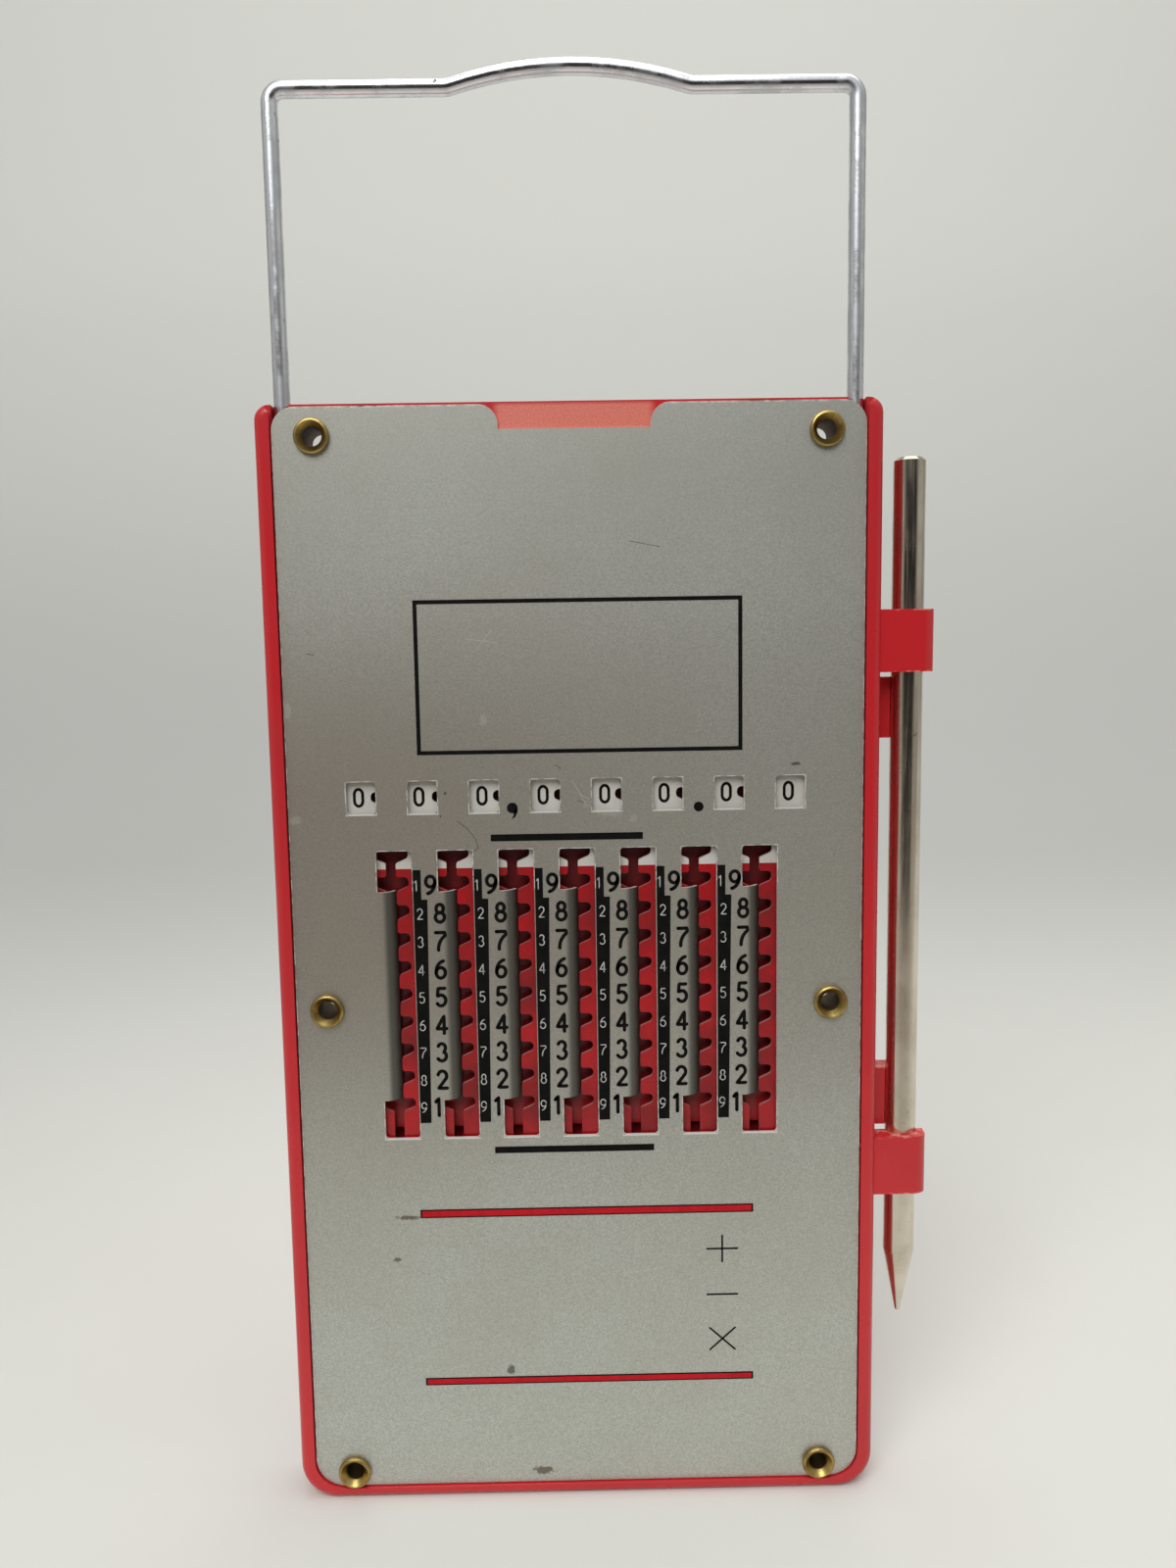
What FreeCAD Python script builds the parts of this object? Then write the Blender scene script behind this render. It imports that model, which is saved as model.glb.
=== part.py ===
"""Pocket slide adder: a moulded case, a pierced front plate, eight number slides, a reset bail
and a stylus clipped to the side. Millimetres. The adder stands on the middle of its bottom edge:
X to the right, Z up along its length, and the front plate looks towards -Y."""
import FreeCAD, Part
import os
from math import acos, asin, atan2, cos, hypot, pi, sin, tan

V = FreeCAD.Vector

# Moulded case
side_wall = 1.455
top_wall = 7.1
bottom_wall_over_eyelet = 0.65
floor_thickness = 2.5
recess_clearance = 0.775
channel_step = 1.5
case_bottom_radius = 4.4
case_top_radius = 1.7
front_edge_radius = 1.1
back_edge_radius = 0.3

# Front plate and the rim round it
plate_thickness = 0.4
plate_recess = 0.4
plate_side_gap = 0.15
plate_top_gap = 0.35
plate_top_radius = 2.6
plate_bottom_radius = 3.4
rim_width = 1.8
bottom_rim = 1.4
notch_width = 17.0
notch_depth = 2.7
notch_corner = 2.2
notch_offset = 0.5

# Slides
slide_count = 8
slide_pitch = 7.05
slide_gap = 1.17
slide_thickness = 0.5
slide_front_gap = 0.4
slide_side_gap = 0.12
slide_back_gap = 0.05
slide_steps = 9
slide_foot = 6.13
slide_head = 9.11
slide_corner = 0.8
slide_end_gap = 1.2
end_slide_outer = 2.6

# Teeth
notch_pitch = 3.332
tooth_count = 20
tooth_depth = 1.44
tooth_rise = 0.62
tooth_drop = 0.45
tooth_slope = 0.65
tooth_tip_radius = 0.28
tooth_root_radius = 0.55

# Windows and slots
window_width = 3.4
window_height = 3.75
window_radius = 0.5
window_step = 11
window_offset = 0.5
slot_left_reach = 0.95
slot_right_reach = 1.95
slot_radius = 0.4
slot_top_margin = 3.79
slot_bottom_margin = 4.07
hook_top = 4.85
hook_bottom = 4.65
lip_gap = 0.1

# Reset bail and its bar
wire_diameter = 1.85
bail_height = 34.4
bail_corner = 1.5
bow_half = 13.3
bow_rise = 2.05
bow_offset = 0.5
kink_radius = 2.5
groove_gap = 0.1
bar_height = 3.0
bar_thickness = 0.6
bar_below_slides = 0.4
bar_slide_gap = 0.3
bar_end_gap = 2.26
eye_wall = 0.4
eye_front_gap = 0.075
eye_side_gap = 0.12
recess_above_slides = 2.55

# Eyelets
eyelet_outer = 1.3
eyelet_wall = 0.2
eyelet_hole_gap = 0.05
roll_radius = 0.34
roll_overhang = 0.34
rib_wall = 0.2
arm_wall = 0.28
eyelet_rim_gap = 0.05
top_eyelet_inset = 0.85
bottom_eyelet_inset = 1.05
side_eyelet_rise = 15.8
counterbore_gap = 0.3

# Stylus and its clips
stylus_diameter = 3.66
stylus_length = 102.9
stylus_below_clips = 23.65
stylus_gap = 1.87
stylus_cone = 8.1
stylus_tip_diameter = 0.7
stylus_top_chamfer = 0.35
clip_fit = 0.04
clip_wall = 0.78
clip_height = 7.1
clip_corner = 1.5
rear_clip_corner = 0.5
rear_clip_reach = 1.2
clip_split = 0.05
clip_pair_gap = 0.6
clip_spacing = 54.75
lower_clip_z = 44.85

# Across: from the slides in the middle out to the sides
slide_width = slide_pitch - slide_gap
eyelet_hole = eyelet_outer + eyelet_hole_gap
roll_reach = eyelet_outer + roll_overhang + roll_radius
row_half = (slide_count - 1) / 2 * slide_pitch + window_offset + end_slide_outer + slide_side_gap
side_eyelet_x = row_half + rib_wall + eyelet_hole
top_eyelet_x = side_eyelet_x - top_eyelet_inset
bottom_eyelet_x = side_eyelet_x - bottom_eyelet_inset
wire_radius = wire_diameter / 2
groove_radius = wire_radius + groove_gap
arm_x = side_eyelet_x + eyelet_hole + arm_wall + groove_radius
eye_radius = wire_radius + eye_wall
cavity_half = arm_x + eye_radius + eye_side_gap
case_width = 2 * (cavity_half + side_wall)
pocket_half = case_width / 2 - rim_width
plate_half = pocket_half - plate_side_gap
stylus_x = case_width / 2 + stylus_gap + stylus_diameter / 2
lip_reach = slot_left_reach + slide_gap - lip_gap

# Through the depth: from the front to the back
wire_depth = plate_thickness + eye_front_gap + eye_radius
case_depth = plate_recess + wire_depth + eye_radius + recess_clearance + floor_thickness
front_y = -case_depth / 2
back_y = case_depth / 2
plate_front = front_y + plate_recess
plate_back = plate_front + plate_thickness
slide_front = plate_back + slide_front_gap
slide_back = slide_front + slide_thickness
wire_y = plate_front + wire_depth
bar_front = slide_back + bar_slide_gap
bar_back = bar_front + bar_thickness
recess_floor = back_y - floor_thickness
channel_floor = recess_floor - channel_step
lip_hollow = (slot_left_reach ** 2 + slide_front_gap ** 2 - lip_gap ** 2) / (2 * (slide_front_gap - lip_gap))
lip_radius = lip_hollow + plate_thickness

# Upwards: from the bottom edge to the top
bottom_eyelet_z = bottom_rim + eyelet_rim_gap + roll_reach
bottom_wall = bottom_eyelet_z + eyelet_hole + bottom_wall_over_eyelet
bail_travel = bail_height - wire_diameter
bar_bottom = bottom_wall + bar_end_gap + bail_travel
bar_top = bar_bottom + bar_height
slide_bottom = bar_top + bar_below_slides
recess_top = slide_bottom + recess_above_slides
first_notch = slide_bottom + slide_foot
slide_top = first_notch + (tooth_count - 1) * notch_pitch + slide_head
cavity_top = slide_top + slide_end_gap
case_height = cavity_top + top_wall
top_eyelet_z = cavity_top + top_wall / 2
plate_top = case_height - plate_top_gap
plate_bottom = bottom_rim + plate_side_gap
window_z = first_notch + window_step * notch_pitch
slot_bottom = first_notch - slot_bottom_margin
slot_top = first_notch + (slide_steps - 1) * notch_pitch + slot_top_margin
side_eyelet_z = slot_bottom + side_eyelet_rise
stylus_tip_z = lower_clip_z - stylus_below_clips


def box(x0, x1, y0, y1, z0, z1):
    """A block between two corners."""
    return Part.makeBox(x1 - x0, y1 - y0, z1 - z0, V(x0, y0, z0))


def rod_y(x, z, radius, y0, y1):
    """A round rod that runs from the front to the back."""
    return Part.makeCylinder(radius, y1 - y0, V(x, y0, z), V(0, 1, 0))


def rod_z(x, y, radius, z0, z1):
    """A round rod that runs upwards."""
    return Part.makeCylinder(radius, z1 - z0, V(x, y, z0), V(0, 0, 1))


def joined(shapes):
    """One solid made of shapes that touch or overlap."""
    first, rest = shapes[0], shapes[1:]
    return first.fuse(rest).removeSplitter() if rest else first


def corner_points(before, corner, after, radius):
    """Where a rounding of the given radius starts, bulges and ends at a corner in XZ."""
    ax, az = before[0] - corner[0], before[1] - corner[1]
    bx, bz = after[0] - corner[0], after[1] - corner[1]
    la, lb = hypot(ax, az), hypot(bx, bz)
    ax, az, bx, bz = ax / la, az / la, bx / lb, bz / lb
    half = acos(max(-1.0, min(1.0, ax * bx + az * bz))) / 2
    reach = radius / tan(half)
    mx, mz = ax + bx, az + bz
    lm = hypot(mx, mz)
    bulge = radius / sin(half) - radius
    start = (corner[0] + ax * reach, corner[1] + az * reach)
    middle = (corner[0] + mx / lm * bulge, corner[1] + mz / lm * bulge)
    end = (corner[0] + bx * reach, corner[1] + bz * reach)
    return start, middle, end


def rounded_edges(corners, y, closed=True):
    """Straight and round edges through (x, z, radius) corners at one depth y."""
    def at(point):
        return V(point[0], y, point[1])

    count = len(corners)
    edges = []
    pen = None
    first = None
    for i, corner in enumerate(corners):
        is_end = not closed and i in (0, count - 1)
        if is_end or corner[2] <= 0:
            start, middle, end = corner[:2], None, corner[:2]
        else:
            before, after = corners[i - 1], corners[(i + 1) % count]
            start, middle, end = corner_points(before, corner, after, corner[2])
        if pen is None:
            first = start
        elif at(pen).distanceToPoint(at(start)) > 1e-6:
            edges.append(Part.LineSegment(at(pen), at(start)).toShape())
        if middle:
            edges.append(Part.Arc(at(start), at(middle), at(end)).toShape())
        pen = end
    if closed and at(pen).distanceToPoint(at(first)) > 1e-6:
        edges.append(Part.LineSegment(at(pen), at(first)).toShape())
    return edges


def slab(corners, y0, y1):
    """A flat piece with a rounded outline, from depth y0 to y1."""
    wire = Part.Wire(rounded_edges(corners, y0))
    return Part.Face(wire).extrude(V(0, y1 - y0, 0))


def rounded_rectangle(x0, x1, z0, z1, bottom_radius, top_radius):
    """Corners of a rectangle in XZ, with one radius below and one above."""
    return [(x0, z0, bottom_radius), (x1, z0, bottom_radius), (x1, z1, top_radius), (x0, z1, top_radius)]


def slide_x(index):
    """Middle of a slide; index 0 is at the left."""
    return window_x(index) - window_offset


def window_x(index):
    """Middle of the window over a slide."""
    return (index - (slide_count - 1) / 2) * slide_pitch


def slot_sides(index):
    """Left and right edge of the slot that lies over the gap to the right of a slide."""
    gap_left = slide_x(index) + slide_width / 2
    return gap_left - slot_left_reach, gap_left + slide_gap + slot_right_reach


def eyelet_places():
    """Name, x and z of each eyelet."""
    return [
        ("top_left", -top_eyelet_x, top_eyelet_z),
        ("top_right", top_eyelet_x, top_eyelet_z),
        ("side_left", -side_eyelet_x, side_eyelet_z),
        ("side_right", side_eyelet_x, side_eyelet_z),
        ("bottom_left", -bottom_eyelet_x, bottom_eyelet_z),
        ("bottom_right", bottom_eyelet_x, bottom_eyelet_z),
    ]


def edges_at(shape, y):
    """All edges of a shape that lie flat at one depth."""
    return [e for e in shape.Edges if all(abs(v.Y - y) < 1e-6 for v in e.Vertexes)]


def case_block():
    """The outside of the case, with its long edges rounded."""
    half = case_width / 2
    block = slab(rounded_rectangle(-half, half, 0, case_height, case_bottom_radius, case_top_radius),
                 front_y, back_y)
    block = block.makeFillet(front_edge_radius, edges_at(block, front_y))
    return block.makeFillet(back_edge_radius, edges_at(block, back_y))


def plate_pocket():
    """The shallow space that the plate lies in, open at the top between two rounded rim ends."""
    flare = rim_width / 2
    over = case_height + flare
    corners = [
        (-pocket_half, bottom_rim, plate_bottom_radius + plate_side_gap),
        (pocket_half, bottom_rim, plate_bottom_radius + plate_side_gap),
        (pocket_half, case_height - flare, flare / 2),
        (pocket_half + 2 * flare, over, 0),
        (-pocket_half - 2 * flare, over, 0),
        (-pocket_half, case_height - flare, flare / 2),
    ]
    return slab(corners, front_y - plate_recess, plate_back)


def guide_ribs():
    """Ribs between the slides above the slots, which also carry the plate."""
    half = slide_gap / 2 - slide_side_gap
    z0 = slot_top + slide_gap
    ribs = []
    for i in range(slide_count - 1):
        x = slide_x(i) + slide_pitch / 2
        ribs.append(box(x - half, x + half, plate_back, channel_floor, z0, cavity_top))
    return ribs


def slide_rails():
    """The flat tracks that the slides run on, out of sight between the teeth."""
    half = slide_width / 2 - tooth_depth - slide_side_gap
    front = slide_back + slide_back_gap
    return [box(slide_x(i) - half, slide_x(i) + half, front, channel_floor, recess_top, cavity_top)
            for i in range(slide_count)]


def cavity():
    """Everything hollow inside the case behind the plate."""
    outer_edge = end_slide_outer + slide_side_gap
    left = slide_x(0) - outer_edge
    right = slide_x(slide_count - 1) + outer_edge
    rib_side = arm_x - groove_radius
    recess = box(-cavity_half, cavity_half, plate_back, recess_floor, bottom_wall, recess_top)
    track = box(left, right, plate_back, channel_floor, recess_top, cavity_top)
    arms = [box(min(s * rib_side, s * cavity_half), max(s * rib_side, s * cavity_half),
                plate_back, recess_floor, recess_top, cavity_top) for s in (-1, 1)]
    return joined([recess, track] + arms).cut(guide_ribs() + slide_rails())


def arm_grooves():
    """The two grooves in the top wall that the bail's arms slide through."""
    cuts = []
    for x in (-arm_x, arm_x):
        cuts.append(box(x - groove_radius, x + groove_radius, plate_back, wire_y, cavity_top, case_height))
        cuts.append(rod_z(x, wire_y, groove_radius, cavity_top, case_height))
    return cuts


def clip(z, front):
    """A moulded claw: round the whole front of the stylus, or behind it to just past its middle."""
    reach = stylus_diameter / 2 + clip_fit + clip_wall
    inner = case_width / 2 - side_wall / 2
    y0, y1 = (-reach, -clip_split) if front else (clip_split, reach)
    outer_x = stylus_x + (reach if front else rear_clip_reach)
    body = box(inner, outer_x, y0, y1, z, z + clip_height)
    ends = [e for e in edges_at(body, y0 if front else y1) if e.CenterOfMass.x > outer_x - 1e-6]
    body = body.makeFillet(clip_corner if front else rear_clip_corner, ends)
    return body.cut(rod_z(stylus_x, 0, stylus_diameter / 2 + clip_fit, z, z + clip_height))


def clips():
    """Two pairs of claws: the front one is the upper of the top pair and the lower of the other."""
    drop = clip_height + clip_pair_gap
    lower = lower_clip_z + clip_pair_gap / 2
    upper = lower + clip_spacing
    return [clip(upper, True), clip(upper - drop, False), clip(lower, False), clip(lower - drop, True)]


def case():
    """The moulded case."""
    body = case_block().cut([plate_pocket(), cavity()] + arm_grooves())
    body = joined([body] + clips())
    for _, x, z in eyelet_places():
        body = body.cut(rod_y(x, z, eyelet_hole, front_y, back_y))
        body = body.cut(rod_y(x, z, roll_reach + counterbore_gap, back_y - 2 * roll_radius, back_y))
    return body


def lip(index):
    """The curved lip at the left of a slot, bent into the case between the two hooks."""
    left = slot_sides(index)[0]
    angle = asin(min(1.0, lip_reach / lip_radius))

    def on(radius, turn):
        return V(left + radius * sin(turn), plate_front + lip_radius - radius * cos(turn), z0)

    z0 = slot_bottom + hook_bottom
    outer = Part.Arc(on(lip_radius, 0), on(lip_radius, angle / 2), on(lip_radius, angle))
    inner = Part.Arc(on(lip_hollow, angle), on(lip_hollow, angle / 2), on(lip_hollow, 0))
    end = Part.LineSegment(on(lip_radius, angle), on(lip_hollow, angle))
    root = Part.LineSegment(on(lip_hollow, 0), on(lip_radius, 0))
    face = Part.Face(Part.Wire([outer.toShape(), end.toShape(), inner.toShape(), root.toShape()]))
    return face.extrude(V(0, 0, slot_top - hook_top - z0))


def finger_notch():
    """The shallow cut in the plate's top edge, with rounded shoulders."""
    half = notch_width / 2
    floor = plate_top - notch_depth
    cut = box(notch_offset - half, notch_offset + half, plate_front, plate_back, floor, plate_top)
    for side in (-1, 1):
        edge = notch_offset + side * half
        beyond = edge + side * notch_corner
        shoulder = box(min(edge, beyond), max(edge, beyond), plate_front, plate_back,
                       plate_top - notch_corner, plate_top)
        round_off = rod_y(beyond, plate_top - notch_corner, notch_corner, plate_front, plate_back)
        cut = cut.fuse(shoulder.cut(round_off))
    return cut


def window(index):
    """The opening over one slide's digits."""
    x, wide, high = window_x(index), window_width / 2, window_height / 2
    corners = rounded_rectangle(x - wide, x + wide, window_z - high, window_z + high,
                                window_radius, window_radius)
    return slab(corners, plate_front, plate_back)


def slot(index):
    """The opening between two slides' rows of teeth."""
    left, right = slot_sides(index)
    return slab(rounded_rectangle(left, right, slot_bottom, slot_top, slot_radius, slot_radius),
                plate_front, plate_back)


def front_plate():
    """The sheet front, pierced by the windows and slots."""
    plate = slab(rounded_rectangle(-plate_half, plate_half, plate_bottom, plate_top,
                                   plate_bottom_radius, plate_top_radius), plate_front, plate_back)
    cuts = [finger_notch()]
    cuts += [window(i) for i in range(slide_count)]
    cuts += [slot(i) for i in range(slide_count - 1)]
    cuts += [rod_y(x, z, eyelet_hole, plate_front, plate_back) for _, x, z in eyelet_places()]
    return joined([plate.cut(cuts)] + [lip(i) for i in range(slide_count - 1)])


def toothed_side(edge_x, inward):
    """Corners down one toothed edge of a slide, from the top notch to the lowest."""
    root = edge_x + inward * tooth_depth
    corners = []
    for step in reversed(range(tooth_count)):
        z = first_notch + step * notch_pitch
        corners.append((edge_x, z + tooth_rise, tooth_tip_radius))
        corners.append((root, z + tooth_rise, tooth_root_radius))
        corners.append((root, z - tooth_drop, tooth_root_radius))
        corners.append((edge_x, z - tooth_drop - tooth_slope, tooth_tip_radius))
    return corners


def slide(index):
    """A number slide: a flat strip, toothed on each edge that a slot reaches."""
    x = slide_x(index)
    has_left = index > 0
    has_right = index < slide_count - 1
    left = x - (slide_width / 2 if has_left else end_slide_outer)
    right = x + (slide_width / 2 if has_right else end_slide_outer)
    corners = [(left, slide_top, slide_corner), (right, slide_top, slide_corner)]
    if has_right:
        corners += toothed_side(right, -1)
    corners += [(right, slide_bottom, slide_corner), (left, slide_bottom, slide_corner)]
    if has_left:
        corners += list(reversed(toothed_side(left, 1)))
    return slab(corners, slide_front, slide_back)


def bail_path():
    """Centre line of the bail: up one arm, along the bowed top and down the other arm."""
    top = case_height + bail_height - wire_radius
    half = atan2(2 * bow_rise, bow_half)
    kink_reach = kink_radius * tan(half / 2)
    bow_radius = (hypot(2 * bow_rise, bow_half) - 1.02 * kink_reach) / tan(half)
    corners = [
        (-arm_x, bar_bottom, 0),
        (-arm_x, top, bail_corner),
        (bow_offset - bow_half, top, kink_radius),
        (bow_offset, top + 2 * bow_rise, bow_radius),
        (bow_offset + bow_half, top, kink_radius),
        (arm_x, top, bail_corner),
        (arm_x, bar_bottom, 0),
    ]
    return Part.Wire(rounded_edges(corners, wire_y, closed=False))


def reset_bail():
    """The bent wire that is pulled to clear the slides."""
    section = Part.Wire(Part.Circle(V(-arm_x, wire_y, bar_bottom), V(0, 0, 1), wire_radius).toShape())
    return bail_path().makePipeShell([section], True, False)


def reset_bar():
    """The strip across the case behind the slides, rolled round the ends of the bail."""
    parts = [box(-arm_x, arm_x, bar_front, bar_back, bar_bottom, bar_top)]
    parts += [rod_z(x, wire_y, eye_radius, bar_bottom, bar_top) for x in (-arm_x, arm_x)]
    bores = [rod_z(x, wire_y, wire_radius, bar_bottom, bar_top) for x in (-arm_x, arm_x)]
    return joined(parts).cut(bores)


def eyelet(x, z):
    """A tubular eyelet, rolled over on the plate and in the back of the case."""
    roll_centre = eyelet_outer + roll_overhang
    back_seat = back_y - 2 * roll_radius
    tube = rod_y(x, z, eyelet_outer, plate_front - roll_radius, back_seat + roll_radius)
    parts = [tube]
    for seat, outward in ((plate_front, -1), (back_seat, 1)):
        roll = Part.makeTorus(roll_centre, roll_radius, V(x, seat + outward * roll_radius, z), V(0, 1, 0))
        parts.append(roll)
        parts.append(rod_y(x, z, roll_centre, min(seat, seat + outward * 2 * roll_radius),
                           max(seat, seat + outward * 2 * roll_radius)))
    body = joined(parts)
    bore = eyelet_outer - eyelet_wall
    flare = roll_overhang + eyelet_wall
    cuts = [rod_y(x, z, bore, front_y - case_depth, back_y + case_depth)]
    front_mouth = plate_front - 2 * roll_radius
    back_mouth = back_seat + 2 * roll_radius
    cuts.append(Part.makeCone(bore + flare, bore, 2 * roll_radius, V(x, front_mouth, z), V(0, 1, 0)))
    cuts.append(Part.makeCone(bore, bore + flare, 2 * roll_radius, V(x, back_mouth - 2 * roll_radius, z),
                              V(0, 1, 0)))
    return body.cut(cuts)


def stylus():
    """The solid metal pointer, clipped to the side with its tip down."""
    radius = stylus_diameter / 2
    tip = stylus_tip_diameter / 2
    cone_top = stylus_tip_z + stylus_cone
    end = stylus_tip_z + stylus_length
    profile = [
        V(0, 0, stylus_tip_z),
        V(tip * cos(pi / 4), 0, stylus_tip_z + tip * (1 - sin(pi / 4))),
        V(tip, 0, stylus_tip_z + tip),
        V(radius, 0, cone_top),
        V(radius, 0, end - stylus_top_chamfer),
        V(radius - stylus_top_chamfer, 0, end),
        V(0, 0, end),
    ]
    edges = [Part.Arc(profile[0], profile[1], profile[2]).toShape()]
    edges += [Part.LineSegment(a, b).toShape() for a, b in zip(profile[2:-1], profile[3:])]
    edges.append(Part.LineSegment(profile[-1], profile[0]).toShape())
    body = Part.Face(Part.Wire(edges)).revolve(V(0, 0, 0), V(0, 0, 1), 360)
    body.translate(V(stylus_x, 0, 0))
    return body


def build():
    """Every piece of the adder by name."""
    pieces = {"case": case(), "front_plate": front_plate()}
    for i in range(slide_count):
        pieces["slide_%d" % (i + 1)] = slide(i)
    pieces["reset_bail"] = reset_bail()
    pieces["reset_bar"] = reset_bar()
    for name, x, z in eyelet_places():
        pieces["eyelet_" + name] = eyelet(x, z)
    pieces["stylus"] = stylus()
    return pieces


os.makedirs("parts", exist_ok=True)
for name, shape in build().items():
    solids = shape.Solids
    size = shape.BoundBox
    print("%-20s solids %d valid %s volume %.2f box %.2f %.2f %.2f" %
          (name, len(solids), shape.isValid(), shape.Volume, size.XLength, size.YLength, size.ZLength))
    shape.exportStep("parts/%s.step" % name)
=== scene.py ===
# %% [markdown]
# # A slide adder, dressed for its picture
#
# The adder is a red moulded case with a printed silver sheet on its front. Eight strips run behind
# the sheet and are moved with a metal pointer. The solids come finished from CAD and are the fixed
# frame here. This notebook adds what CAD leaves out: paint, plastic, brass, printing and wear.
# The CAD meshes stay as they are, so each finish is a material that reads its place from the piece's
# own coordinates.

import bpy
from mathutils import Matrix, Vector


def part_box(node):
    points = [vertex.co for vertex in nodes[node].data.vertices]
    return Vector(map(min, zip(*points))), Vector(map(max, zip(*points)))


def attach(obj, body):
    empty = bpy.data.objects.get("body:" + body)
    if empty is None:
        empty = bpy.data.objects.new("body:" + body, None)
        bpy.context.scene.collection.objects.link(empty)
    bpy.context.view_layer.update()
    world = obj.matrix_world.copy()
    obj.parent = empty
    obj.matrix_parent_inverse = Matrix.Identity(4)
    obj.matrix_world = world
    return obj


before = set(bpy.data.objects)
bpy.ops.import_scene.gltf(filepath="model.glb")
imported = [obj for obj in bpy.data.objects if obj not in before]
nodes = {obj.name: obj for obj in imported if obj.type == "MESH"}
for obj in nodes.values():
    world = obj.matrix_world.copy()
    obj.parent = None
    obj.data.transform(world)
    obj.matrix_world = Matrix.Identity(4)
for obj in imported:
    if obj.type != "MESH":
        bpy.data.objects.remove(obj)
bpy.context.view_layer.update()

from math import cos, pi, radians, sin, sqrt

import bpy
from mathutils import Vector


# %% [markdown]
# ## Where things are
#
# Blender works in metres and the adder was measured in millimetres. What a CAD box can tell is read
# from it, so the ink follows the sheet that it is printed on, and no number is written twice. A box
# doesn't show openings, so the windows, slots and notches are given here once, and every later cell
# works from these names.

# %% Places that the CAD boxes give
MM = 0.001
X, Y, Z = 0, 1, 2
plate_low, plate_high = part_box("front_plate")
slide_low, slide_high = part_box("slide_3")
PLATE_Y = plate_low.y / MM
SHEET_HALF = plate_high.x / MM
SHEET_TOP = plate_high.z / MM
PITCH = (slide_low.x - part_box("slide_2")[0].x) / MM
SLIDE_WIDE = (slide_high.x - slide_low.x) / MM
SLIDE_Y = slide_low.y / MM
print("sheet front at y", round(PLATE_Y, 2), "and slides at y", round(SLIDE_Y, 2), "pitch", round(PITCH, 2))

# %% Notches, windows and slots
NOTCH = 3.332
FIRST_NOTCH = 49.77
WINDOW_Z = FIRST_NOTCH + 11 * NOTCH
WINDOW_WIDE, WINDOW_HIGH = 3.4, 3.75
SLOT_WIDE = 4.07
SLOT_LOW, SLOT_HIGH = 45.70, 80.216
SLOT_OVER_SLIDE = 0.95
SLIDE_SHIFT = -0.5


def slide_middle(n):
    """Middle of slide n, counted from 0 at the left."""
    return (n - 3.5) * PITCH + SLIDE_SHIFT


def slot_left(n):
    """Left edge of the slot between slides n and n + 1."""
    return slide_middle(n) + SLIDE_WIDE / 2 - SLOT_OVER_SLIDE


print("windows at z", round(WINDOW_Z, 2), "first slot from x", round(slot_left(0), 2))

# %% [markdown]
# ## The camera
#
# The picture was taken from a little above the middle of the adder, about a hand's width away. The
# camera could be moved by eye until the picture looks right. Here its place was found by fitting a
# pinhole camera to corners that show both in the photograph and on the model, which also gives the
# small tilts. A focal length of 27 mm on a 36 mm long side is 1200 pixels in a picture 1600 high.

# %% Place the camera
CAMERA_PLACE = (0.195 * MM, -137.02 * MM, 102.92 * MM)
CAMERA_TURN = (83.509, 0.893, -0.622)
lens = bpy.data.cameras.new("picture_camera")
lens.lens = 27.0
lens.sensor_width = 36.0
lens.clip_start = 0.005
lens.clip_end = 20.0
camera = bpy.data.objects.new("picture_camera", lens)
camera.location = CAMERA_PLACE
camera.rotation_euler = [radians(angle) for angle in CAMERA_TURN]
bpy.context.scene.collection.objects.link(camera)
bpy.context.scene.camera = camera
print("camera", [round(v / MM, 1) for v in camera.location], "mm")

# %% [markdown]
# ## Helpers for shader nodes
#
# A material is a net of small nodes. It can be wired by hand in the shader editor, but in a script the
# wiring takes many lines. A small class keeps the cells short: it adds a node, fills its inputs with
# numbers or with other nodes' outputs, and has a method for each sum that comes up often.


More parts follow.
